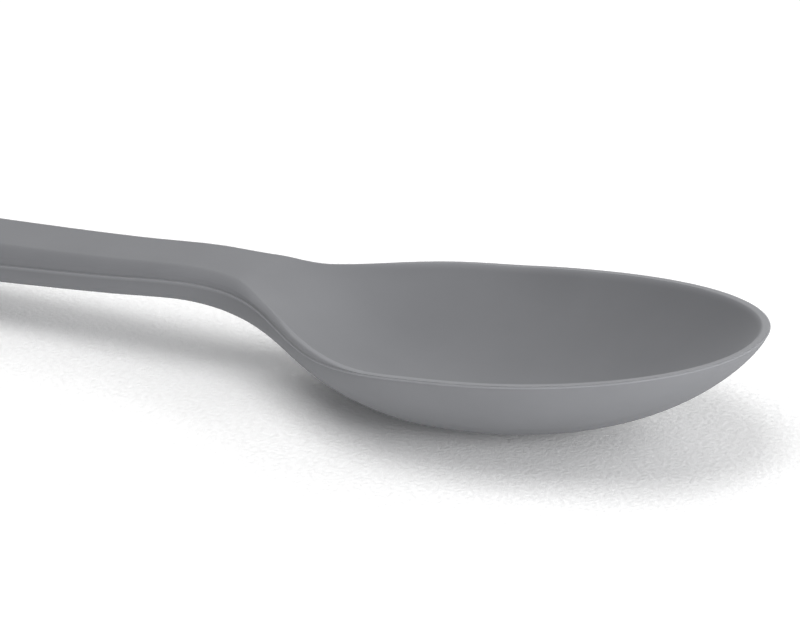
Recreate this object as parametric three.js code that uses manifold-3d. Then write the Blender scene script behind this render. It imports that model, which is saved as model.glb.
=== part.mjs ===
import * as THREE from "three";
import { mergeVertices } from "three/addons/utils/BufferGeometryUtils.js";
import Module from "manifold-3d";

// A cooking spoon: silicone rubber moulded over a stiff nylon core, as it lies on a table.
// X runs from the end of the handle to the tip of the bowl, Y goes across and Z is up, in millimetres.
// Every station along the spoon is a distance from the tip.

// Outline seen from above
const LENGTH = 285;
const BOWL_WIDTH = 66;
const WIDEST_FROM_TIP = 50.2;
const NECK_FROM_TIP = 118;
const NECK_WIDTH = 17.4;
const GRIP_WIDTH = 18.8;
const GRIP_SPREAD_BEFORE_NECK = 20;
const TIP_ROUNDNESS = 2.08;
const NECK_SWEEP = 3.11;
const NECK_PINCH = 4;

// Height of the parting line above the table
const TIP_HEIGHT = 23.2;
const RIM_HEIGHT = 18.05;
const RIM_LOW_FROM_TIP = 77.8;
const RIM_LOW_HEIGHT = 15.65;
const NECK_HEIGHT = 17.05;
const GRIP_FROM_TIP = 136.2;
const GRIP_HEIGHT = 15.2;
const END_HEIGHT = 5.1;

// Section of the handle above and below the parting line
const HANDLE_BELLY = 5.55;
const HANDLE_SHOULDER = 2.7;
const BELLY_SQUARENESS = 2.24;
const BELLY_ROUNDING = 0.41;
const SECTION_CHANGE_BEFORE_NECK = 42.5;
const SECTION_CHANGE_PAST_NECK = 3.5;

// Height of the topside above the parting line, which grows from the rim to the grip
const RIM_CROWN = 0.26;
const RIM_SWELL = 1.24;
const RIM_SWELL_BEFORE_NECK = 55.7;
const RIM_SWELL_LENGTH = 20.6;
const NECK_RISE = 1.19;
const NECK_RISE_BEFORE_NECK = 21.3;
const NECK_RISE_LENGTH = 9.4;
const GRIP_RISE = 1.65;
const GRIP_RISE_LENGTH = 88.5;

// Section of the bowl
const WALL = 3.2;
const RIM = 1.5;
const RIM_SHOULDER = 0.7;
const SHOULDER_CHANGE_BEFORE_NECK = 34;
const SHOULDER_CHANGE_LENGTH = 16;
const BOWL_FULLNESS = 2.61;
const BOWL_STEEPNESS = 0.78;
const LOWEST_FROM_TIP = 59.7;
const HEEL_PAST_NECK = 5.4;
const HEEL_SHARPNESS = 0.85;
const RAMP_BEFORE_NECK = 46;
const RAMP_LENGTH = 36;
const REST_PLANED_OFF = 0.25;

// Hole to hang it by
const HANG_HOLE = 9;
const HANG_HOLE_FROM_END = 14;

// Core and the keys that hold the skins on it
const CORE_BAR = 4;
const CORE_PLATE = 1.1;
const LIP = 8;
const SIDE_COVER = 3.2;
const CORE_END_COVER = 9;
const KEY = 4;
const KEY_PITCH = 26;
const KEY_FROM_CORE_END = 14;
const BOWL_KEYS = 4;
const BOWL_KEY_RADIUS = 8;
const CLEARANCE = 0.25;

// Fineness of the surfaces
const TIP_STEPS = 9;
const BOWL_STEPS = 14;
const HANDLE_STEPS = 9;
const HANDLE_STEP_GROWTH = 1.4;
const END_STEPS = 7;
const CORE_RINGS = [0, 0.25, 0.5, 0.7, 0.86, 1];
const EDGE_RINGS = [0.93, 0.6, 0.3, 0.12, 0.04, 0];
const KEY_SIDES = 12;
const OUTLINE_STEP = 0.1;
const SAME_POINT = 1e-3;

const holeRadius = HANG_HOLE / 2;
const holeCentre = LENGTH - HANG_HOLE_FROM_END;
const holeFront = holeCentre - holeRadius;
const coreEnd = holeFront - CORE_END_COVER;
const gripCrown = RIM_CROWN + RIM_SWELL + NECK_RISE + GRIP_RISE;
const neckRiseStart = NECK_FROM_TIP - NECK_RISE_BEFORE_NECK;
const neckRiseEnd = neckRiseStart + NECK_RISE_LENGTH;

// Rises smoothly from 0 at one station to 1 at another.
function ease(from, to, station) {
  const t = THREE.MathUtils.clamp((station - from) / (to - from), 0, 1);
  return t * t * (3 - 2 * t);
}

// A smooth cubic through a few [station, height] pairs.
function cubicThrough(knots) {
  const last = knots.length - 1;
  const span = (i) => knots[i + 1][0] - knots[i][0];
  const chord = (i) => (knots[i + 1][1] - knots[i][1]) / span(i);
  const slope = knots.map((knot, i) => {
    if (i === 0) return chord(0);
    if (i === last) return chord(last - 1);
    return (chord(i - 1) * span(i) + chord(i) * span(i - 1)) / (span(i - 1) + span(i));
  });
  return (station) => {
    let i = 0;
    while (i < last - 1 && station > knots[i + 1][0]) i += 1;
    const t = (station - knots[i][0]) / span(i);
    const start = knots[i][1] * (1 + 2 * t) + slope[i] * span(i) * t;
    const finish = knots[i + 1][1] * (3 - 2 * t) - slope[i + 1] * span(i) * (1 - t);
    return start * (1 - t) ** 2 + finish * t ** 2;
  };
}

const partingHeight = cubicThrough([
  [0, TIP_HEIGHT],
  [WIDEST_FROM_TIP, RIM_HEIGHT],
  [RIM_LOW_FROM_TIP, RIM_LOW_HEIGHT],
  [NECK_FROM_TIP, NECK_HEIGHT],
  [GRIP_FROM_TIP, GRIP_HEIGHT],
  [LENGTH, END_HEIGHT],
]);

// Half the width at a station: a superellipse up to the widest place, a bell-shaped sweep into the
// neck, a handle that widens slowly and a round end.
function halfWidth(station) {
  const half = BOWL_WIDTH / 2;
  const ahead = (WIDEST_FROM_TIP - station) / WIDEST_FROM_TIP;
  if (ahead > 0) return half * Math.max(1 - ahead ** TIP_ROUNDNESS, 0) ** (1 / TIP_ROUNDNESS);
  const endRound = GRIP_WIDTH / 2;
  const spread = ease(NECK_FROM_TIP - GRIP_SPREAD_BEFORE_NECK, LENGTH - endRound, station);
  const handle = NECK_WIDTH / 2 + ((GRIP_WIDTH - NECK_WIDTH) / 2) * spread;
  const sweep = THREE.MathUtils.clamp(
    (station - WIDEST_FROM_TIP) / (NECK_FROM_TIP - WIDEST_FROM_TIP), 0, 1);
  const width = handle + (half - handle) * (1 - sweep ** NECK_SWEEP) ** NECK_PINCH;
  const past = THREE.MathUtils.clamp((station - (LENGTH - endRound)) / endRound, 0, 1);
  return width * Math.sqrt(1 - past ** 2);
}

// How far the section has changed from the bowl's, 0, to the handle's, 1.
function handleShare(station) {
  const from = NECK_FROM_TIP - SECTION_CHANGE_BEFORE_NECK;
  return ease(from, NECK_FROM_TIP + SECTION_CHANGE_PAST_NECK, station);
}

// Height of the topside's flat above the parting line: low on the rim, with a swell along the back of the
// bowl, a rise at the neck and a slow rise along the grip.
function crownHeight(station) {
  const swellStart = NECK_FROM_TIP - RIM_SWELL_BEFORE_NECK;
  const swell = RIM_SWELL * ease(swellStart, swellStart + RIM_SWELL_LENGTH, station);
  const neck = NECK_RISE * ease(neckRiseStart, neckRiseEnd, station);
  const grip = GRIP_RISE * ease(neckRiseEnd, neckRiseEnd + GRIP_RISE_LENGTH, station);
  return RIM_CROWN + swell + neck + grip;
}

// Width of the shoulder that rounds the topside down to the parting line.
function shoulderWidth(station) {
  const start = NECK_FROM_TIP - SHOULDER_CHANGE_BEFORE_NECK;
  const change = ease(start, start + SHOULDER_CHANGE_LENGTH, station);
  return THREE.MathUtils.lerp(RIM_SHOULDER, HANDLE_SHOULDER, change);
}

// Slope of the parting line over the bowl's widest place, which the underside shares there.
const heightAhead = partingHeight(WIDEST_FROM_TIP - OUTLINE_STEP);
const heightBehind = partingHeight(WIDEST_FROM_TIP + OUTLINE_STEP);
const bowlTilt = (heightAhead - heightBehind) / (2 * OUTLINE_STEP);

// Height of the underside on the centre line: lowest under the bowl, with the heel rising to the handle.
function keelHeight(station) {
  const heelLength = NECK_FROM_TIP + HEEL_PAST_NECK - LOWEST_FROM_TIP;
  const heel = THREE.MathUtils.clamp((station - LOWEST_FROM_TIP) / heelLength, 0, 1);
  const rise = ease(0, 1, heel ** HEEL_SHARPNESS);
  const ahead = Math.max(LOWEST_FROM_TIP - station, 0);
  const front = (bowlTilt * ahead ** 2) / (2 * (LOWEST_FROM_TIP - WIDEST_FROM_TIP)) - REST_PLANED_OFF;
  return front * (1 - rise) + (partingHeight(station) - HANDLE_BELLY) * rise;
}

// A ray from the spine, or from the hang hole's edge, to a point of the outline. Its reach is measured
// square to the outline there, so that rims and shoulders keep their width where the outline slants.
function rayBetween(spine, spineHalf, edge) {
  const edgeHalf = halfWidth(edge);
  const slope = (halfWidth(edge + OUTLINE_STEP) - halfWidth(edge - OUTLINE_STEP)) / (2 * OUTLINE_STEP);
  const reach = Math.abs(edgeHalf - spineHalf - slope * (edge - spine)) / Math.hypot(slope, 1);
  return { spine, spineHalf, edge, edgeHalf, reach };
}

// The point at a share of a ray, 0 on the spine and 1 on the outline, with the heights of the spoon's
// upper and lower surface and of the core's two faces there.
function sectionAt(ray, share) {
  const station = THREE.MathUtils.lerp(ray.spine, ray.edge, share);
  const half = THREE.MathUtils.lerp(ray.spineHalf, ray.edgeHalf, share);
  const parting = partingHeight(station);
  const handle = handleShare(ray.spine);
  const power = THREE.MathUtils.lerp(BOWL_FULLNESS, BELLY_SQUARENESS, handle);
  const rounding = THREE.MathUtils.lerp(BOWL_STEEPNESS, BELLY_ROUNDING, handle);
  const keel = keelHeight(ray.spine);
  const depth = partingHeight(ray.spine) - keel;
  const bottom = Math.max(parting - depth * (1 - share ** power) ** rounding, 0);

  const crown = crownHeight(ray.spine);
  const fromEdge = Math.min(((1 - share) * ray.reach) / shoulderWidth(ray.spine), 1);
  const rounded = Math.sqrt(1 - (1 - fromEdge) ** 2);
  const rampStart = NECK_FROM_TIP - RAMP_BEFORE_NECK;
  const open = 1 - ease(rampStart, rampStart + RAMP_LENGTH, ray.spine);
  const inside = (partingHeight(ray.spine) + crown - keel - WALL) * open;
  const innerShare = Math.min((share * ray.reach) / (ray.reach - RIM), 1);
  const hollow = inside * (1 - innerShare ** power) ** rounding;
  const top = parting + Math.min(crown * rounded, crown - hollow);

  const middle = (top + bottom) / 2;
  const coreShare = THREE.MathUtils.lerp(CORE_PLATE / WALL, CORE_BAR / (gripCrown + HANDLE_BELLY), handle);
  const coreHalf = (coreShare * (top - bottom)) / 2;
  return { station, half, top, bottom, middle, coreHalf };
}

// Rays of one side from the tip to the end of the core: a fan about the middle of the bowl, then
// straight sections along the bowl and the handle, closer together near the neck.
function raysToCoreEnd() {
  const list = [];
  for (let i = 0; i <= TIP_STEPS; i += 1) {
    const edge = WIDEST_FROM_TIP * (1 - Math.cos((i / TIP_STEPS) * (Math.PI / 2)));
    list.push(rayBetween(WIDEST_FROM_TIP, 0, edge));
  }
  for (let i = 1; i <= BOWL_STEPS; i += 1) {
    const station = THREE.MathUtils.lerp(WIDEST_FROM_TIP, NECK_FROM_TIP, i / BOWL_STEPS);
    list.push(rayBetween(station, 0, station));
  }
  for (let i = 1; i <= HANDLE_STEPS; i += 1) {
    const station = THREE.MathUtils.lerp(NECK_FROM_TIP, coreEnd, (i / HANDLE_STEPS) ** HANDLE_STEP_GROWTH);
    list.push(rayBetween(station, 0, station));
  }
  return list;
}

// Rays past the core: the end of its pocket, the front of the hang hole and a fan round the hole.
function raysPastCore() {
  const list = [coreEnd + 2 * CLEARANCE, holeFront].map((station) => rayBetween(station, 0, station));
  for (let i = 1; i <= END_STEPS; i += 1) {
    const turn = (i / END_STEPS) * Math.PI;
    const edge = holeFront + (LENGTH - holeFront) * Math.sin(turn / 2);
    const spineHalf = i === END_STEPS ? 0 : holeRadius * Math.sin(turn);
    list.push(rayBetween(holeCentre - holeRadius * Math.cos(turn), spineHalf, edge));
  }
  return list;
}

// Where the core stops on a ray, as a distance in from the outline.
function coverOn(ray) {
  return THREE.MathUtils.lerp(LIP, SIDE_COVER, handleShare(ray.spine));
}

// Shares of a ray at which the skins and the core are sampled.
function sharesOn(ray) {
  const cover = coverOn(ray) / ray.reach;
  const inner = CORE_RINGS.map((ring) => ring * (1 - cover));
  const outer = EDGE_RINGS.map((ring) => 1 - ring * cover);
  return [...inner, ...outer];
}

const toPoint = (at, side, height) => new THREE.Vector3(LENGTH / 2 - at.station, side * at.half, height);

// A closed body between an upper and a lower height on the rays, far side out and near side back.
function bodyOnRays(rays, ringCount, upperHeight, lowerHeight) {
  const rows = [];
  const addRow = (ray, side) => {
    const shares = sharesOn(ray).slice(0, ringCount);
    const section = shares.map((share, ring) => ({ ...sectionAt(ray, share), ring, ray }));
    rows.push({
      upper: section.map((at) => toPoint(at, side, upperHeight(at))),
      lower: section.map((at) => toPoint(at, side, lowerHeight(at))),
    });
  };
  rays.forEach((ray) => addRow(ray, 1));
  [...rays].reverse().forEach((ray) => addRow(ray, -1));

  const corners = [];
  const addTriangle = (a, b, c) => {
    const shortest = Math.min(a.distanceTo(b), b.distanceTo(c), c.distanceTo(a));
    if (shortest >= SAME_POINT) corners.push(a, b, c);
  };
  const addQuad = (a, b, c, d) => {
    addTriangle(a, b, c);
    addTriangle(a, c, d);
  };
  rows.forEach((row, i) => {
    const next = rows[(i + 1) % rows.length];
    for (let ring = 0; ring + 1 < ringCount; ring += 1) {
      addQuad(row.upper[ring], row.upper[ring + 1], next.upper[ring + 1], next.upper[ring]);
      addQuad(row.lower[ring], next.lower[ring], next.lower[ring + 1], row.lower[ring + 1]);
    }
    const rim = ringCount - 1;
    addQuad(row.upper[rim], row.lower[rim], next.lower[rim], next.upper[rim]);
    const besideHole = Math.abs(row.upper[0].y) + Math.abs(next.upper[0].y) > SAME_POINT;
    if (besideHole) addQuad(row.upper[0], next.upper[0], next.lower[0], row.lower[0]);
  });
  return new THREE.BufferGeometry().setFromPoints(corners);
}

const wasm = await Module();
wasm.setup();

function toSolid(geometry) {
  const bare = geometry.clone();
  bare.deleteAttribute("normal");
  bare.deleteAttribute("uv");
  const merged = mergeVertices(bare, SAME_POINT);
  const vertProperties = merged.attributes.position.array;
  const triVerts = new Uint32Array(merged.index.array);
  return new wasm.Manifold(new wasm.Mesh({ numProp: 3, vertProperties, triVerts }));
}

function toGeometry(solid) {
  const mesh = solid.getMesh();
  const geometry = new THREE.BufferGeometry();
  geometry.setAttribute("position", new THREE.BufferAttribute(mesh.vertProperties, mesh.numProp));
  geometry.setIndex(new THREE.BufferAttribute(mesh.triVerts, 1));
  geometry.computeVertexNormals();
  return geometry;
}

// An upright round post between two heights.
function post(place, diameter, from, to) {
  const geometry = new THREE.CylinderGeometry(diameter / 2, diameter / 2, to - from, KEY_SIDES);
  geometry.rotateX(Math.PI / 2);
  geometry.translate(LENGTH / 2 - place.station, place.across, (from + to) / 2);
  return toSolid(geometry);
}

// Places of the keys: a ring under the lowest part of the bowl and a row along the handle.
function keyPlaces() {
  const places = [];
  for (let i = 0; i < BOWL_KEYS; i += 1) {
    const turn = (i / BOWL_KEYS) * 2 * Math.PI;
    const station = LOWEST_FROM_TIP + BOWL_KEY_RADIUS * Math.cos(turn);
    places.push({ station, across: BOWL_KEY_RADIUS * Math.sin(turn) });
  }
  for (let station = coreEnd - KEY_FROM_CORE_END; station > NECK_FROM_TIP; station -= KEY_PITCH) {
    places.push({ station, across: 0 });
  }
  return places;
}

function sectionAtPlace(place) {
  const ray = rayBetween(place.station, 0, place.station);
  return sectionAt(ray, Math.abs(place.across) / ray.edgeHalf);
}

// A key stops at the lowest point of the core's upper face around it.
function keyTop(place) {
  const radius = KEY / 2;
  const around = [[0, 0], [radius, 0], [-radius, 0], [0, radius], [0, -radius]];
  const heights = around.map(([along, aside]) => {
    const at = sectionAtPlace({ station: place.station + along, across: place.across + aside });
    return at.middle + at.coreHalf;
  });
  return Math.min(...heights);
}

const coreRays = raysToCoreEnd();
const allRays = [...coreRays, ...raysPastCore()];
const allRings = CORE_RINGS.length + EDGE_RINGS.length;
const lastCoreRing = CORE_RINGS.length - 1;

// Half the room left for the core and its clearance, or for the parting gap where there is no core.
function pocketHalf(at) {
  const overCore = at.ring <= lastCoreRing && at.ray.spine <= coreEnd;
  return overCore ? at.coreHalf + CLEARANCE : CLEARANCE / 2;
}

function upperSkinGeometry() {
  const topside = (at) => Math.max(at.top, at.middle + CLEARANCE / 2);
  const underside = (at) => at.middle + pocketHalf(at);
  return bodyOnRays(allRays, allRings, topside, underside);
}

function lowerSkinGeometry() {
  const topside = (at) => at.middle - pocketHalf(at);
  const underside = (at) => Math.min(at.bottom, at.middle - CLEARANCE / 2);
  let solid = toSolid(bodyOnRays(allRays, allRings, topside, underside));
  for (const place of keyPlaces()) {
    const at = sectionAtPlace(place);
    const root = (at.middle - at.coreHalf + at.bottom) / 2;
    solid = solid.add(post(place, KEY, root, keyTop(place)));
  }
  return toGeometry(solid);
}

function coreGeometry() {
  const topside = (at) => at.middle + at.coreHalf;
  const underside = (at) => at.middle - at.coreHalf;
  let solid = toSolid(bodyOnRays(coreRays, CORE_RINGS.length, topside, underside));
  for (const place of keyPlaces()) {
    const { middle } = sectionAtPlace(place);
    solid = solid.subtract(post(place, KEY + 2 * CLEARANCE, middle - CORE_BAR, middle + CORE_BAR));
  }
  return toGeometry(solid);
}

const silicone = new THREE.MeshStandardMaterial({ color: 0x78797d, roughness: 0.6, metalness: 0 });
const nylon = new THREE.MeshStandardMaterial({ color: 0x2b2c2e, roughness: 0.5, metalness: 0 });

const spoon = new THREE.Group();
function addPiece(name, geometry, material) {
  const mesh = new THREE.Mesh(geometry, material);
  mesh.name = name;
  spoon.add(mesh);
}
addPiece("core", coreGeometry(), nylon);
addPiece("upper_skin", upperSkinGeometry(), silicone);
addPiece("lower_skin", lowerSkinGeometry(), silicone);

export default spoon;
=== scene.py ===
"""A grey silicone cooking spoon lying on a white card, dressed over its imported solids.

The skin is worked out on rays that run from the spoon's spine to its outline, from the same driving sizes
as the solids but finer. It adds a rolled rim, a ledge and a thread of flash on the parting line, and soft
edges at the hang hole. Lengths are in metres. A station is a distance along the spoon from the tip of the
bowl.
"""
import math
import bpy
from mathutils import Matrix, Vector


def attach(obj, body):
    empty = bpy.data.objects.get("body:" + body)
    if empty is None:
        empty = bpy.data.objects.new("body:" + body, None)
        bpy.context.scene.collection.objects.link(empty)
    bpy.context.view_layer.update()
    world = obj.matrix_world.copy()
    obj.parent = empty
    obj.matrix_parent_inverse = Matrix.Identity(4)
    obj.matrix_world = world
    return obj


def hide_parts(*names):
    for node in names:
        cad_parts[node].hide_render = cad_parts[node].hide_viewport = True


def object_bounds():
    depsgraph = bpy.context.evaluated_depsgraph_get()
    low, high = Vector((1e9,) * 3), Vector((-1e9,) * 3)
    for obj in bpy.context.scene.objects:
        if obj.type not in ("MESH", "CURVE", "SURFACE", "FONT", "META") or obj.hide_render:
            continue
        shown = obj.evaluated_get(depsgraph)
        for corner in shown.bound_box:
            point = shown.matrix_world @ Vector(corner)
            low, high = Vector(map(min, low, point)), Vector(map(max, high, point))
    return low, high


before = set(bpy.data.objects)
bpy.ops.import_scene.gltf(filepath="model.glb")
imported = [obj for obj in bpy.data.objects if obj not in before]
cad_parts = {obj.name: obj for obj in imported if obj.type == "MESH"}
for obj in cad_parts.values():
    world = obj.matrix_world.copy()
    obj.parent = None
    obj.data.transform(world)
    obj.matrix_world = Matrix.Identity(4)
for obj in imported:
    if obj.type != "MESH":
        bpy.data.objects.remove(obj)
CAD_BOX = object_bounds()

from types import SimpleNamespace

import bmesh
import bpy
import numpy as np
from mathutils import Quaternion, Vector

MM = 0.001

# Outline seen from above
LENGTH = CAD_BOX[1].x - CAD_BOX[0].x
BOWL_WIDTH = CAD_BOX[1].y - CAD_BOX[0].y
WIDEST_FROM_TIP = 50.2 * MM
NECK_FROM_TIP = 118 * MM
NECK_WIDTH = 17.4 * MM
GRIP_WIDTH = 18.8 * MM
GRIP_SPREAD_BEFORE_NECK = 20 * MM
TIP_ROUNDNESS = 2.08
NECK_SWEEP = 3.11
NECK_PINCH = 4

# Height of the parting line above the table
TIP_HEIGHT = 23.2 * MM
RIM_HEIGHT = 18.05 * MM
RIM_LOW_FROM_TIP = 77.8 * MM
RIM_LOW_HEIGHT = 15.65 * MM
NECK_HEIGHT = 17.05 * MM
GRIP_FROM_TIP = 136.2 * MM
GRIP_HEIGHT = 15.2 * MM
END_HEIGHT = 5.1 * MM

# Section of the handle above and below the parting line
HANDLE_BELLY = 5.55 * MM
HANDLE_SHOULDER = 2.7 * MM
BELLY_SQUARENESS = 2.24
BELLY_ROUNDING = 0.41
SECTION_CHANGE_BEFORE_NECK = 42.5 * MM
SECTION_CHANGE_PAST_NECK = 3.5 * MM

# Height of the topside above the parting line, which grows from the rim to the grip
RIM_CROWN = 0.26 * MM
RIM_SWELL = 1.24 * MM
RIM_SWELL_START = NECK_FROM_TIP - 55.7 * MM
RIM_SWELL_END = RIM_SWELL_START + 20.6 * MM
NECK_RISE = 1.19 * MM
NECK_RISE_START = NECK_FROM_TIP - 21.3 * MM
NECK_RISE_END = NECK_RISE_START + 9.4 * MM
GRIP_RISE = 1.65 * MM
GRIP_RISE_END = NECK_RISE_END + 88.5 * MM
GRIP_CROWN = RIM_CROWN + RIM_SWELL + NECK_RISE + GRIP_RISE

# Section of the bowl
WALL = 3.2 * MM
RIM = 1.5 * MM
RIM_SHOULDER = 0.7 * MM
RIM_ROLL = 0.9 * MM
SHOULDER_CHANGE_START = NECK_FROM_TIP - 34 * MM
SHOULDER_CHANGE_END = SHOULDER_CHANGE_START + 16 * MM
BOWL_FULLNESS = 2.61
BOWL_STEEPNESS = 0.78
LOWEST_FROM_TIP = 59.7 * MM
HEEL_END = NECK_FROM_TIP + 5.4 * MM
HEEL_SHARPNESS = 0.85
RAMP_START = NECK_FROM_TIP - 46 * MM
RAMP_END = RAMP_START + 36 * MM
REST_PLANED_OFF = 0.25 * MM

# Flash and ledge on the parting line, and how strongly a highlight is painted in paler grey on them and on
# the rim
FLASH = 0.15 * MM
LEDGE = 0.3 * MM
FLASH_PAINTED_HIGHLIGHT = 0.45
RIM_PAINTED_HIGHLIGHT = 0.35

# Hole to hang it by
HOLE_RADIUS = 4.5 * MM
HOLE_CENTRE = LENGTH - 14 * MM
HOLE_FRONT = HOLE_CENTRE - HOLE_RADIUS
HOLE_ROUND = 1.2 * MM

# Pocket for the core inside the skin
CORE_BAR = 4 * MM
CORE_PLATE = 1.1 * MM
LIP = 8 * MM
SIDE_COVER = 3.2 * MM
CORE_END = HOLE_FRONT - 9 * MM
CLEARANCE = 0.25 * MM
POCKET_SLOPE = 2 * CLEARANCE

# Fineness of the surfaces
TIP_ROWS = 64
BOWL_ROWS = 72
HANDLE_ROWS = 110
END_ROWS = 48
ROW_CROWDING = 0.9
INNER_RINGS = 34
INNER_CROWDING = 1.3
EDGE_RINGS = 30
EDGE_BAND = 6 * MM
EDGE_BAND_MOST = 0.7
EDGE_CROWDING = 1.8
POCKET_RINGS = 40
FLASH_RINGS = 6
OUTLINE_STEP = 0.1 * MM
SAME_POINT = 0.001 * MM
SHARP_ANGLE = math.radians(40)

# Camera at the photograph's angle: Blender takes its sensor and lens in millimetres
SENSOR = 36
LENS = 218.02
CAMERA_DISTANCE = 900.25 * MM
CAMERA_AZIMUTH = 30.059
CAMERA_ELEVATION = 21.004
CAMERA_ROLL = -0.509
CAMERA_AIM = (73.731 * MM, -9.736 * MM, 21.226 * MM)

# Table and light
TABLE_SIZE = 8
LAMP_DISTANCE = 0.9
NEAR_LAMP = 0.45
FILL_LEVEL = 0.2
CARD_GAIN = 1.2
# Seen card from the tooth's pits to its knolls: paper mottling, with painted shade in the pits
CARD_MOTTLING_AND_PIT_SHADE = (0.75, 1.25)
CARD_FADE_START = 0.25
CARD_FADE_END = 0.5

# Colours
SILICONE_DARK = "#757679"
SILICONE_LIGHT = "#7c7d80"
# Paler grey painted on the flash, ledge and rim as a highlight
SILICONE_PAINTED_HIGHLIGHT = "#9b9c9f"
NYLON_DARK = "#242527"
NYLON_FLECKS = "#333437"
CARD_COLOUR = "#f6f6f6"
ROOM_COLOUR = "#ffffff"

# Sockets of a node that mixes colours, by number, because its other mixes share their names
MIX_SHARE = 0
MIX_FIRST = 6
MIX_SECOND = 7
MIX_RESULT = 2


def ease(start, finish, value):
    """Smooth step: 3 t squared less 2 t cubed, with t from 0 at start to 1 at finish."""
    t = np.clip((value - start) / (finish - start), 0, 1)
    return t * t * (3 - 2 * t)


def mix(first, second, share):
    """Straight blend of two values."""
    return first + (second - first) * share


def cubic_through(knots, stations):
    """Piecewise cubic through (station, height) pairs. Its slope at an inner pair is the mean of the
    two chords there, each weighted by the other one's span, and the end chords' slope at the ends."""
    at, height = np.array(knots).T
    span = np.diff(at)
    chord = np.diff(height) / span
    inner = (chord[:-1] * span[1:] + chord[1:] * span[:-1]) / (span[:-1] + span[1:])
    slope = np.concatenate([chord[:1], inner, chord[-1:]])
    i = np.clip(np.searchsorted(at, stations) - 1, 0, len(span) - 1)
    t = (stations - at[i]) / span[i]
    begin = height[i] * (1 + 2 * t) + slope[i] * span[i] * t
    end = height[i + 1] * (3 - 2 * t) - slope[i + 1] * span[i] * (1 - t)
    return begin * (1 - t) ** 2 + end * t ** 2


def parting_height(stations):
    """Height of the parting line: high at the tip, low behind the bowl's middle, up again at the neck and
    down to the handle's end."""
    knots = [
        (0, TIP_HEIGHT),
        (WIDEST_FROM_TIP, RIM_HEIGHT),
        (RIM_LOW_FROM_TIP, RIM_LOW_HEIGHT),
        (NECK_FROM_TIP, NECK_HEIGHT),
        (GRIP_FROM_TIP, GRIP_HEIGHT),
        (LENGTH, END_HEIGHT),
    ]
    return cubic_through(knots, stations)


def half_width(stations):
    """Half the outline's width: a superellipse up to the widest place, a bell-shaped sweep into the neck,
    which is (1 - the way along to a power) to a second power, a handle that widens by a smooth step and a
    round end."""
    half = BOWL_WIDTH / 2
    ahead = np.clip((WIDEST_FROM_TIP - stations) / WIDEST_FROM_TIP, 0, 1)
    tip = half * (1 - ahead ** TIP_ROUNDNESS) ** (1 / TIP_ROUNDNESS)
    end_round = GRIP_WIDTH / 2
    spread = ease(NECK_FROM_TIP - GRIP_SPREAD_BEFORE_NECK, LENGTH - end_round, stations)
    handle = mix(NECK_WIDTH, GRIP_WIDTH, spread) / 2
    sweep = np.clip((stations - WIDEST_FROM_TIP) / (NECK_FROM_TIP - WIDEST_FROM_TIP), 0, 1)
    behind = mix(handle, half, (1 - sweep ** NECK_SWEEP) ** NECK_PINCH)
    past = np.clip((stations - (LENGTH - end_round)) / end_round, 0, 1)
    return np.where(stations < WIDEST_FROM_TIP, tip, behind) * np.sqrt(1 - past ** 2)


def handle_share(stations):
    """How far the section has changed from the bowl's, 0, to the handle's, 1."""
    start = NECK_FROM_TIP - SECTION_CHANGE_BEFORE_NECK
    return ease(start, NECK_FROM_TIP + SECTION_CHANGE_PAST_NECK, stations)


def crown_height(stations):
    """Height of the topside's flat over the parting line: low on the rim, then a swell along the back of
    the bowl, a rise at the neck and a slow rise along the grip, each of them a smooth step."""
    swell = RIM_SWELL * ease(RIM_SWELL_START, RIM_SWELL_END, stations)
    neck = NECK_RISE * ease(NECK_RISE_START, NECK_RISE_END, stations)
    grip = GRIP_RISE * ease(NECK_RISE_END, GRIP_RISE_END, stations)
    return RIM_CROWN + swell + neck + grip


def keel_height(stations):
    """Height of the underside on the centre line: a parabola under the front of the bowl, which is as steep
    at the widest place as the parting line over it, then a heel that eases up to the handle's underside.
    Its lowest place is under the table by what is planed off it."""
    heel = np.clip((stations - LOWEST_FROM_TIP) / (HEEL_END - LOWEST_FROM_TIP), 0, 1)
    rise = ease(0, 1, heel ** HEEL_SHARPNESS)
    beside = parting_height(WIDEST_FROM_TIP + OUTLINE_STEP * np.array([-1, 1]))
    tilt = (beside[0] - beside[1]) / (2 * OUTLINE_STEP)
    ahead = np.maximum(LOWEST_FROM_TIP - stations, 0)
    front = tilt * ahead ** 2 / (2 * (LOWEST_FROM_TIP - WIDEST_FROM_TIP)) - REST_PLANED_OFF
    return mix(front, parting_height(stations) - HANDLE_BELLY, rise)


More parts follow.
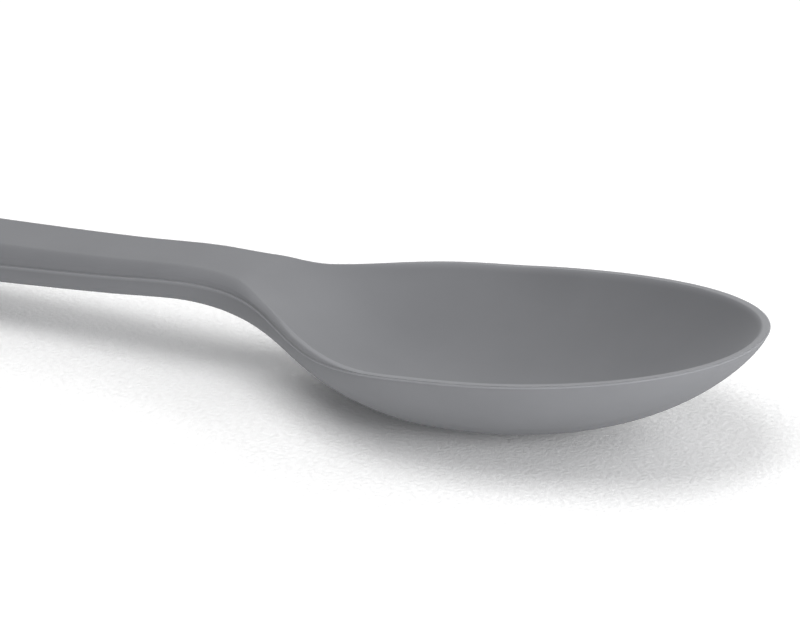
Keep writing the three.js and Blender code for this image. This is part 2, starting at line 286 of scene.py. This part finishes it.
def spoon_rays():
    """Rays from the spine to the outline, once round the spoon: a fan about the bowl's widest place at
    the tip, straight sections along the bowl and the handle, crowded by a sine towards the handle's ends,
    and a fan round the hang hole, on the far side out and on the near side back. A ray's reach is its
    length square to the outline."""
    tip_turn = np.linspace(0, np.pi / 2, TIP_ROWS, endpoint=False)
    tip = WIDEST_FROM_TIP * (1 - np.cos(tip_turn))
    bowl = np.linspace(WIDEST_FROM_TIP, NECK_FROM_TIP, BOWL_ROWS, endpoint=False)
    along = np.linspace(0, 1, HANDLE_ROWS, endpoint=False)
    crowded = along - ROW_CROWDING * np.sin(2 * np.pi * along) / (2 * np.pi)
    handle = mix(NECK_FROM_TIP, HOLE_FRONT, crowded)
    hole_turn = np.linspace(0, np.pi, END_ROWS)
    end = HOLE_FRONT + (LENGTH - HOLE_FRONT) * np.sin(hole_turn / 2)

    edge = np.concatenate([tip, bowl, handle, end])
    hole_edge = HOLE_CENTRE - HOLE_RADIUS * np.cos(hole_turn)
    spine = np.concatenate([np.full(TIP_ROWS, WIDEST_FROM_TIP), bowl, handle, hole_edge])
    # The sine of a half turn comes out as not quite 0.
    hole_half = HOLE_RADIUS * np.sin(hole_turn)
    hole_half[[0, -1]] = 0
    spine_half = np.concatenate([np.zeros(TIP_ROWS + BOWL_ROWS + HANDLE_ROWS), hole_half])

    # The slope at the very tip is taken on one side only, because the outline starts there.
    edge_half = half_width(edge)
    slope = (half_width(edge + OUTLINE_STEP) - half_width(edge - OUTLINE_STEP)) / (2 * OUTLINE_STEP)
    slope[0] = half_width(np.array([OUTLINE_STEP]))[0] / OUTLINE_STEP
    reach = np.abs(edge_half - spine_half - slope * (edge - spine)) / np.hypot(slope, 1)

    out = np.arange(len(edge))
    back = out[-2:0:-1]
    order = np.concatenate([out, back])
    side = np.concatenate([np.ones(len(out)), -np.ones(len(back))])
    return SimpleNamespace(
        spine=spine[order, None],
        spine_half=spine_half[order, None],
        edge=edge[order, None],
        edge_half=edge_half[order, None],
        reach=reach[order, None],
        side=side[:, None],
    )


def place_on(rays, share, height):
    """Points at a share of each ray, 0 on the spine and 1 on the outline, at a height."""
    station = mix(rays.spine, rays.edge, share)
    half = mix(rays.spine_half, rays.edge_half, share) * rays.side
    return np.stack([LENGTH / 2 - station, half, np.broadcast_to(height, station.shape)], axis=-1)


def rolled(drop, full_drop):
    """A drop that starts on a round edge: the hypotenuse of the drop and the rim's roll, less the roll, and
    scaled so that the full drop is kept."""
    short = np.hypot(drop, RIM_ROLL) - RIM_ROLL
    full = np.hypot(full_drop, RIM_ROLL) - RIM_ROLL
    return short * full_drop / np.maximum(full, SAME_POINT)


def skin_heights(rays, share):
    """Heights of the skin at shares of the rays, 0 on the spine and 1 beside the flash.

    Underside: the parting line less the depth times (1 - share to a power) to a second power, planed flat
    at the table.
    Topside: the lower of a shoulder, which is a quarter ellipse up from the parting line, and the bowl's
    inside, which follows the underside's formula one wall higher and one rim further in.
    Both roll over a quarter circle into the hang hole."""
    station = mix(rays.spine, rays.edge, share)
    half = mix(rays.spine_half, rays.edge_half, share)
    parting = parting_height(station)
    handle = handle_share(rays.spine)
    power = mix(BOWL_FULLNESS, BELLY_SQUARENESS, handle)
    rounding = mix(BOWL_STEEPNESS, BELLY_ROUNDING, handle)
    keel = keel_height(rays.spine)
    parting_above = parting_height(rays.spine)
    depth = parting_above - keel
    bottom = np.maximum(parting - mix(FLASH, depth, (1 - share ** power) ** rounding), 0)

    crown = crown_height(rays.spine)
    widening = ease(SHOULDER_CHANGE_START, SHOULDER_CHANGE_END, rays.spine)
    shoulder = mix(RIM_SHOULDER, HANDLE_SHOULDER, widening)
    from_edge = np.clip((1 - share) * rays.reach / shoulder, 0, 1)
    rounded = np.sqrt(1 - (1 - from_edge) ** 2)
    hollow = 1 - ease(RAMP_START, RAMP_END, rays.spine)
    inside = (parting_above + crown - keel - WALL) * hollow
    inner_share = np.clip(share * rays.reach / (rays.reach - RIM), 0, 1)
    drop = rolled(inside * (1 - inner_share ** power) ** rounding, inside)
    top = parting + np.minimum(mix(FLASH, crown, rounded), crown - drop)

    from_hole = np.hypot(station - HOLE_CENTRE, half) - HOLE_RADIUS
    turned = np.clip(1 - from_hole / HOLE_ROUND, 0, 1)
    into_hole = HOLE_ROUND * (1 - np.sqrt(1 - turned ** 2))
    return SimpleNamespace(
        top=top - into_hole,
        bottom=bottom + into_hole,
        middle=(top + bottom) / 2,
        thickness=top - bottom,
        handle=handle,
    )


def outer_shares(rays):
    """Shares from the spine to the flash, crowded towards the spine and within a band along the outline,
    which takes up at most a set share of a short ray."""
    band = np.minimum(EDGE_BAND / rays.reach, EDGE_BAND_MOST)
    inner = np.linspace(0, 1, INNER_RINGS, endpoint=False) ** INNER_CROWDING
    edge = np.linspace(1, 0, EDGE_RINGS) ** EDGE_CROWDING
    return np.concatenate([inner * (1 - band), 1 - edge * band], axis=1)


def flash_thread(rays, width, upward):
    """A quarter ellipse of flash, from the skin's side out to the outline at the parting line."""
    turn = np.linspace(0, np.pi / 2, FLASH_RINGS)[None, :]
    share = 1 - width / rays.reach * (1 - np.sin(turn))
    parting = parting_height(mix(rays.spine, rays.edge, share))
    return place_on(rays, share, parting + upward * FLASH * np.cos(turn))


def inner_face(rays, width, upward):
    """The skin's hidden face: the middle of the section, with half the core's pocket hollowed out of it. The
    pocket takes the core's share of the skin's thickness and a clearance, and ends in smooth steps."""
    share = np.broadcast_to(np.linspace(0, 1, POCKET_RINGS), (len(rays.edge), POCKET_RINGS))
    skin = skin_heights(rays, share)
    core_part = mix(CORE_PLATE / WALL, CORE_BAR / (GRIP_CROWN + HANDLE_BELLY), skin.handle)
    side_edge = mix(LIP, SIDE_COVER, skin.handle) - CLEARANCE
    across = ease(side_edge - POCKET_SLOPE, side_edge, (1 - share) * rays.reach)
    end_edge = CORE_END + CLEARANCE
    lengthways = 1 - ease(end_edge, end_edge + POCKET_SLOPE, rays.spine)
    pocket = (core_part * skin.thickness / 2 + CLEARANCE) * across * lengthways
    return place_on(rays, share * (1 - width / rays.reach), skin.middle + upward * pocket)


def upper_skin(rays):
    """The silicone above the parting line: topside from the spine out, straight down to a ledge that the
    narrower upper half of the mould leaves, the ledge, and the hidden face back. A highlight is painted
    on the ledge in paler grey, and on the rim by a smooth step across its width that fades out where
    the bowl ends."""
    share = outer_shares(rays) * (1 - LEDGE / rays.reach)
    topside = place_on(rays, share, skin_heights(rays, share).top)
    ledge = flash_thread(rays, LEDGE, 1)
    # A ring close above the ledge takes the painted highlight of the side, so that the ledge's own
    # painted highlight stays on the ledge.
    foot = np.minimum(ledge[:, :1] + (0, 0, FLASH / 2), topside[:, -1:])
    hidden = inner_face(rays, LEDGE, 1)[:, ::-1]
    # Painted highlight on the rim: paler across its width, fading out where the bowl ends.
    on_rim = 1 - ease(RIM, RIM + RIM_ROLL, (1 - share) * rays.reach)
    rim_highlight = RIM_PAINTED_HIGHLIGHT * on_rim * (1 - ease(RAMP_START, RAMP_END, rays.spine))
    highlight_paint = [rim_highlight, rim_highlight[:, -1:], np.full(ledge.shape[:2], FLASH_PAINTED_HIGHLIGHT), np.zeros(hidden.shape[:2])]
    return np.concatenate([topside, foot, ledge, hidden], axis=1), np.concatenate(highlight_paint, axis=1)


def lower_skin(rays):
    """The silicone below the parting line: hidden face from the spine out, flash with a highlight painted
    in paler grey, and the underside back."""
    share = outer_shares(rays)
    bottom = skin_heights(rays, share).bottom
    underside = place_on(rays, share * (1 - FLASH / rays.reach), bottom)[:, -2::-1]
    flash = flash_thread(rays, FLASH, -1)[:, ::-1]
    hidden = inner_face(rays, FLASH, -1)
    # Only the flash carries the painted highlight.
    highlight_paint = [
        np.zeros(hidden.shape[:2]),
        np.full(flash.shape[:2], FLASH_PAINTED_HIGHLIGHT),
        np.zeros(underside.shape[:2]),
    ]
    return np.concatenate([hidden, flash, underside], axis=1), np.concatenate(highlight_paint, axis=1)


def closed_shell(name, rays, points, highlight_paint):
    """A mesh over a grid of rays and rings that closes on itself round the spoon and inside the hang hole.
    Points that fall together on the spine are merged. Its painted highlight is kept as an attribute of the
    points."""
    rows, rings = points.shape[:2]
    index = np.arange(rows * rings).reshape(rows, rings)
    after = np.roll(index, -1, axis=0)
    skin = np.stack([index[:, :-1], index[:, 1:], after[:, 1:], after[:, :-1]], axis=-1).reshape(-1, 4)
    beside_hole = (rays.spine_half + np.roll(rays.spine_half, -1, axis=0))[:, 0] > 0
    wall = np.stack([index[:, -1], index[:, 0], after[:, 0], after[:, -1]], axis=-1)[beside_hole]
    faces = np.concatenate([skin, wall])

    mesh = bpy.data.meshes.new(name)
    mesh.from_pydata(points.reshape(-1, 3).tolist(), [], faces.tolist())
    # The painted highlight's share of paler grey is stored on the points.
    mesh.attributes.new("painted_highlight", "FLOAT", "POINT").data.foreach_set("value", highlight_paint.ravel())
    merged = bmesh.new()
    merged.from_mesh(mesh)
    bmesh.ops.remove_doubles(merged, verts=merged.verts, dist=SAME_POINT)
    merged.to_mesh(mesh)
    merged.free()
    mesh.shade_smooth()
    mesh.set_sharp_from_angle(angle=SHARP_ANGLE)
    piece = bpy.data.objects.new(name, mesh)
    bpy.context.scene.collection.objects.link(piece)
    return piece


def linear(hex_colour):
    """An sRGB hex colour as linear red, green, blue and 1, by the standard's curve: a straight line for dark
    channels and a power of 2.4 for the others."""
    channels = [int(hex_colour[i:i + 2], 16) / 255 for i in (1, 3, 5)]
    return (*[c / 12.92 if c <= 0.04045 else ((c + 0.055) / 1.055) ** 2.4 for c in channels], 1)


def add_node(tree, kind, inputs=None, **settings):
    """Adds a node, sets its properties, and fills its inputs with values or with links from sockets."""
    made = tree.nodes.new(kind)
    for name, value in settings.items():
        setattr(made, name, value)
    for name, value in (inputs or {}).items():
        if isinstance(value, bpy.types.NodeSocket):
            tree.links.new(value, made.inputs[name])
        else:
            made.inputs[name].default_value = value
    return made


def bare_material(name):
    """A material with an empty node tree and its output node."""
    material = bpy.data.materials.new(name)
    material.use_nodes = True
    material.node_tree.nodes.clear()
    return material, material.node_tree, add_node(material.node_tree, "ShaderNodeOutputMaterial")


def silicone_rubber():
    """Grey silicone rubber, moulded in a spark-eroded tool: matt, with a soft broad gleam, a slightly
    uneven pigment and a fine grain. A highlight is painted on the thin flash and the rim, in paler grey."""
    material, tree, output = bare_material("silicone_rubber_grey")
    place = add_node(tree, "ShaderNodeTexCoord").outputs["Object"]
    pigment_patch = 14 * MM
    pigment = add_node(tree, "ShaderNodeTexNoise", {
        "Vector": place, "Scale": 1 / pigment_patch, "Detail": 4})
    colour = add_node(tree, "ShaderNodeMix", {
        MIX_SHARE: pigment.outputs["Fac"],
        MIX_FIRST: linear(SILICONE_DARK),
        MIX_SECOND: linear(SILICONE_LIGHT),
    }, data_type="RGBA")
    # Painted highlight: the grey is mixed towards a paler grey on the flash and rim, by the points'
    # attribute.
    painted_highlight = add_node(tree, "ShaderNodeAttribute", attribute_name="painted_highlight").outputs["Fac"]
    tone = add_node(tree, "ShaderNodeMix", {
        MIX_SHARE: painted_highlight,
        MIX_FIRST: colour.outputs[MIX_RESULT],
        MIX_SECOND: linear(SILICONE_PAINTED_HIGHLIGHT),
    }, data_type="RGBA")
    # A spark-eroded grain is about 0.1 mm; it is drawn at 0.3 mm so that it shows.
    grain_size = 0.3 * MM
    grain = add_node(tree, "ShaderNodeTexNoise", {"Vector": place, "Scale": 1 / grain_size, "Detail": 2})
    gloss = add_node(tree, "ShaderNodeMapRange", {
        "Value": grain.outputs["Fac"], "To Min": 0.54, "To Max": 0.66})
    relief = add_node(tree, "ShaderNodeBump", {
        "Height": grain.outputs["Fac"], "Strength": 0.25, "Distance": 0.03 * MM})
    shader = add_node(tree, "ShaderNodeBsdfPrincipled", {
        "Base Color": tone.outputs[MIX_RESULT],
        "Roughness": gloss.outputs["Result"],
        "Normal": relief.outputs["Normal"],
        "IOR": 1.41,
        "Specular IOR Level": 0.25,
    })
    tree.links.new(shader.outputs["BSDF"], output.inputs["Surface"])
    return material


def glass_filled_nylon():
    """Near-black nylon with short glass fibres, moulded: dull, with faint pale flecks."""
    material, tree, output = bare_material("nylon_glass_filled_black")
    place = add_node(tree, "ShaderNodeTexCoord").outputs["Object"]
    # Short glass fibres are about 0.3 mm long; their flecks are drawn at 0.8 mm so that they show.
    fleck_size = 0.8 * MM
    fleck = add_node(tree, "ShaderNodeTexNoise", {"Vector": place, "Scale": 1 / fleck_size, "Detail": 3})
    colour = add_node(tree, "ShaderNodeMix", {
        MIX_SHARE: fleck.outputs["Fac"],
        MIX_FIRST: linear(NYLON_DARK),
        MIX_SECOND: linear(NYLON_FLECKS),
    }, data_type="RGBA")
    relief = add_node(tree, "ShaderNodeBump", {
        "Height": fleck.outputs["Fac"], "Strength": 0.2, "Distance": 0.05 * MM})
    shader = add_node(tree, "ShaderNodeBsdfPrincipled", {
        "Base Color": colour.outputs[MIX_RESULT],
        "Roughness": 0.5,
        "Normal": relief.outputs["Normal"],
        "IOR": 1.53,
    })
    tree.links.new(shader.outputs["BSDF"], output.inputs["Surface"])
    return material


def seen_rays(tree):
    """1 for rays that show a surface to the camera, directly, mirrored or through glass, and 0 for rays that
    only gather light."""
    path = add_node(tree, "ShaderNodeLightPath").outputs
    direct = add_node(tree, "ShaderNodeMath", {
        0: path["Is Camera Ray"], 1: path["Is Glossy Ray"]}, operation="MAXIMUM")
    seen = add_node(tree, "ShaderNodeMath", {
        0: direct.outputs["Value"], 1: path["Is Transmission Ray"]}, operation="MAXIMUM")
    return seen.outputs["Value"]


def card_face(tree, place, seen):
    """Shader of matt white card with a paper tooth. It is seen brighter than it lights the spoon, so that it
    is white away from the shadow, and mottled, darker in the tooth's pits and paler on its knolls: partly
    the paper's own mottling, partly painted shade in the pits and painted light on the knolls."""
    # A card's tooth is about 0.5 mm; it is drawn at 0.95 mm so that it shows.
    tooth_size = 0.95 * MM
    tooth = add_node(tree, "ShaderNodeTexNoise", {"Vector": place, "Scale": 1 / tooth_size, "Detail": 2})
    relief = add_node(tree, "ShaderNodeBump", {
        "Height": tooth.outputs["Fac"], "Strength": 1, "Distance": 0.14 * MM})
    lit = linear(CARD_COLOUR)
    # Darker in the pits and paler on the knolls: paper mottling with painted shade in the pits.
    pit, knoll = ((*[shade * CARD_GAIN * channel for channel in lit[:3]], 1) for shade in CARD_MOTTLING_AND_PIT_SHADE)
    mottled_with_pit_shade = add_node(tree, "ShaderNodeMix", {
        MIX_SHARE: tooth.outputs["Fac"], MIX_FIRST: pit, MIX_SECOND: knoll}, data_type="RGBA")
    plain = add_node(tree, "ShaderNodeBsdfDiffuse", {"Color": lit, "Normal": relief.outputs["Normal"]})
    bright = add_node(tree, "ShaderNodeBsdfDiffuse", {
        "Color": mottled_with_pit_shade.outputs[MIX_RESULT], "Normal": relief.outputs["Normal"]})
    face = add_node(tree, "ShaderNodeMixShader", {
        "Fac": seen, 1: plain.outputs["BSDF"], 2: bright.outputs["BSDF"]})
    return face.outputs["Shader"]


def card_clearness(tree, place, seen):
    """How clear the card is, 0 or 1 near the spoon. It is clear from behind, so that the underside can be
    seen, and to lamps, so that those below shine through it. Far from the spoon, where its light falls off,
    what is seen of it fades out into the white room."""
    behind = add_node(tree, "ShaderNodeNewGeometry").outputs["Backfacing"]
    away = add_node(tree, "ShaderNodeVectorMath", {0: place}, operation="LENGTH").outputs["Value"]
    far = add_node(tree, "ShaderNodeMapRange", {
        "Value": away,
        "From Min": CARD_FADE_START,
        "From Max": CARD_FADE_END,
    }, interpolation_type="SMOOTHSTEP")
    faded = add_node(tree, "ShaderNodeMath", {0: far.outputs["Result"], 1: seen}, operation="MULTIPLY")
    unseen = add_node(tree, "ShaderNodeMath", {0: behind, 1: faded.outputs["Value"]}, operation="MAXIMUM")
    lamp_light = add_node(tree, "ShaderNodeLightPath").outputs["Is Shadow Ray"]
    clearness = add_node(tree, "ShaderNodeMath", {
        0: unseen.outputs["Value"], 1: lamp_light}, operation="MAXIMUM")
    return clearness.outputs["Value"]


def white_card():
    """Matt white card on a light table, with lamps below it."""
    material, tree, output = bare_material("card_matt_white")
    place = add_node(tree, "ShaderNodeTexCoord").outputs["Object"]
    seen = seen_rays(tree)
    clear = add_node(tree, "ShaderNodeBsdfTransparent").outputs["BSDF"]
    card = add_node(tree, "ShaderNodeMixShader", {
        "Fac": card_clearness(tree, place, seen), 1: card_face(tree, place, seen), 2: clear})
    tree.links.new(card.outputs["Shader"], output.inputs["Surface"])
    return material


def table_top():
    """The white table: one large square on the height that the spoon rests at."""
    half = TABLE_SIZE / 2
    corners = [(-half, -half, 0), (half, -half, 0), (half, half, 0), (-half, half, 0)]
    mesh = bpy.data.meshes.new("table")
    mesh.from_pydata(corners, [], [(0, 1, 2, 3)])
    table = bpy.data.objects.new("table", mesh)
    table.data.materials.append(white_card())
    bpy.context.scene.collection.objects.link(table)


def direction(azimuth, elevation):
    """Unit vector to a place round the spoon, from degrees. Azimuth 0 is in front, on the -Y side, and 90 is
    on the +X side."""
    a = math.radians(azimuth)
    e = math.radians(elevation)
    return Vector((math.sin(a) * math.cos(e), -math.cos(a) * math.cos(e), math.sin(e)))


def aim(thing, target, outward, distance, roll=0):
    """Puts a camera or a lamp at a distance outward from a target, facing it, and rolls it about that
    line."""
    level = (-outward).to_track_quat("-Z", "Y")
    thing.location = Vector(target) + outward * distance
    thing.rotation_euler = (level @ Quaternion((0, 0, 1), math.radians(roll))).to_euler()


def softbox(name, azimuth, elevation, width, height, watts, distance=LAMP_DISTANCE):
    """A rectangular soft lamp that faces the middle of the photograph."""
    lamp = bpy.data.lights.new(name, "AREA")
    lamp.shape = "RECTANGLE"
    lamp.size = width
    lamp.size_y = height
    lamp.energy = watts
    box = bpy.data.objects.new(name, lamp)
    bpy.context.scene.collection.objects.link(box)
    aim(box, CAMERA_AIM, direction(azimuth, elevation), distance)


def white_room():
    """A white surround: it is seen as plain white and lights the spoon evenly at a lower level."""
    world = bpy.data.worlds.new("white_room")
    bpy.context.scene.world = world
    world.use_nodes = True
    tree = world.node_tree
    tree.nodes.clear()
    colour = linear(ROOM_COLOUR)
    fill = add_node(tree, "ShaderNodeBackground", {"Color": colour, "Strength": FILL_LEVEL})
    white = add_node(tree, "ShaderNodeBackground", {"Color": colour, "Strength": 1})
    both = add_node(tree, "ShaderNodeMixShader", {
        "Fac": seen_rays(tree), 1: fill.outputs["Background"], 2: white.outputs["Background"]})
    add_node(tree, "ShaderNodeOutputWorld", {"Surface": both.outputs["Shader"]})


def photo_camera():
    """The camera at the photograph's viewing angle."""
    lens = bpy.data.cameras.new("photo_camera")
    lens.sensor_width = SENSOR
    lens.lens = LENS
    camera = bpy.data.objects.new("photo_camera", lens)
    bpy.context.scene.collection.objects.link(camera)
    aim(camera, CAMERA_AIM, direction(CAMERA_AZIMUTH, CAMERA_ELEVATION), CAMERA_DISTANCE, CAMERA_ROLL)
    bpy.context.scene.camera = camera


photo_camera()
table_top()
white_room()
softbox("overhead", azimuth=300, elevation=75, width=0.8, height=0.8, watts=5)
softbox("back_left", azimuth=225, elevation=48, width=0.5, height=0.5, watts=0.58)
softbox("back", azimuth=190, elevation=30, width=0.5, height=0.4, watts=1.74)
softbox("back_right", azimuth=120, elevation=32, width=0.4, height=0.4, watts=1.28)
softbox("low_front", azimuth=40, elevation=6, width=0.5, height=0.16, watts=0.78)
softbox("low_right", azimuth=75, elevation=15, width=0.2, height=0.15, watts=0.94, distance=NEAR_LAMP)
softbox("near_front", azimuth=45, elevation=30, width=0.2, height=0.2, watts=0.12, distance=NEAR_LAMP)
softbox("under_table", azimuth=30, elevation=-70, width=0.8, height=0.8, watts=1.6)
softbox("under_front", azimuth=35, elevation=-10, width=0.5, height=0.14, watts=1.6)

rays = spoon_rays()
silicone = silicone_rubber()
for node, skin_shape in (("upper_skin", upper_skin), ("lower_skin", lower_skin)):
    skin = closed_shell(node + "_silicone", rays, *skin_shape(rays))
    skin.data.materials.append(silicone)
    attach(skin, "root")
    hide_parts(node)

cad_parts["core"].material_slots[0].material = glass_filled_nylon()

bpy.context.scene.view_settings.view_transform = "Standard"
